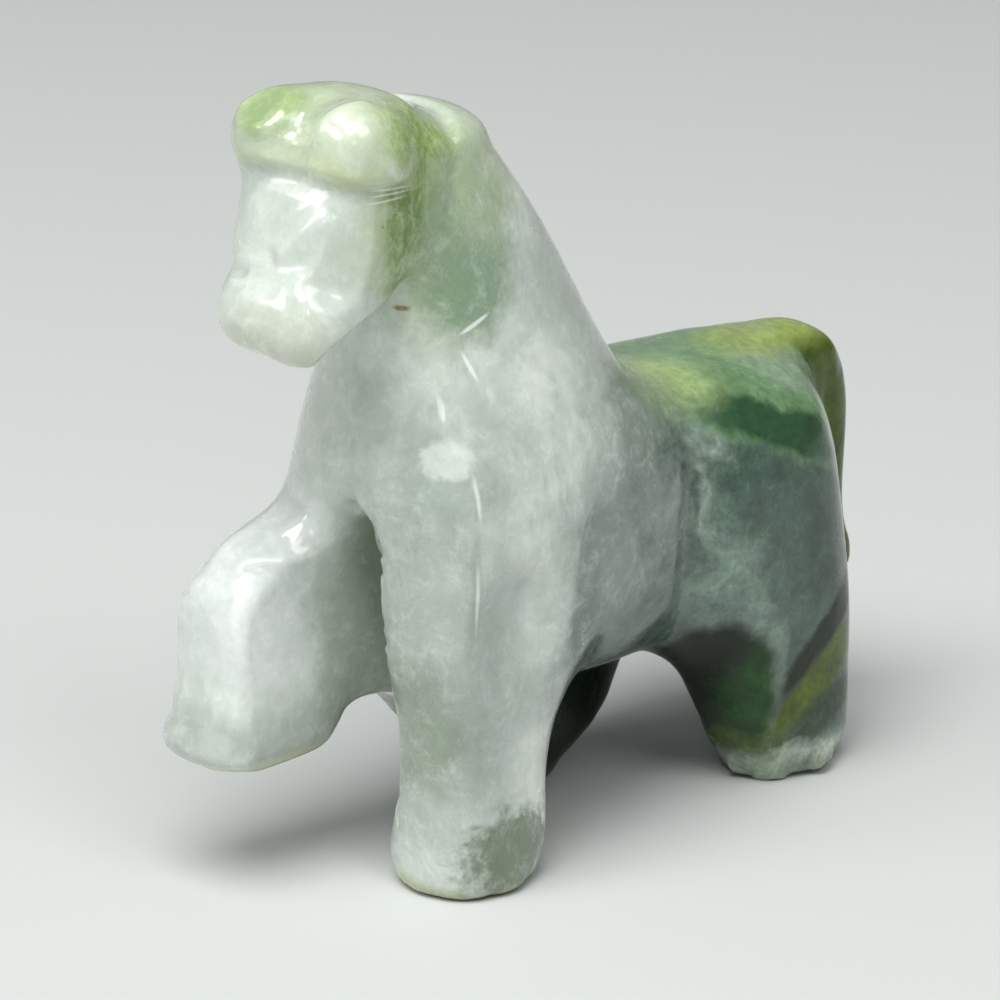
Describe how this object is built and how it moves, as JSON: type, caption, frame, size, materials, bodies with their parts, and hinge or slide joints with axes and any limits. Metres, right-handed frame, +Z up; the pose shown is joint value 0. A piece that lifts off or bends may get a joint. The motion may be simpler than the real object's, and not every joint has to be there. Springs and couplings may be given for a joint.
{
  "type": "figurine",
  "caption": "Small horse carved from one piece of mottled white and green jade, with its right foreleg lifted, for standing on a shelf or desk.",
  "frame": {"origin": "on the ground, under the middle of the horse's outline", "axes": "+Z up, +Y from the head to the tail, +X to the horse's left, so it faces -Y"},
  "size_m": [0.0196, 0.0534, 0.0495],
  "materials": {
    "jade": "polished, slightly translucent, mottled milky white to dark green"
  },
  "bodies": {
    "root": {"carved_jade_horse": "jade"}
  },
  "joints": []
}
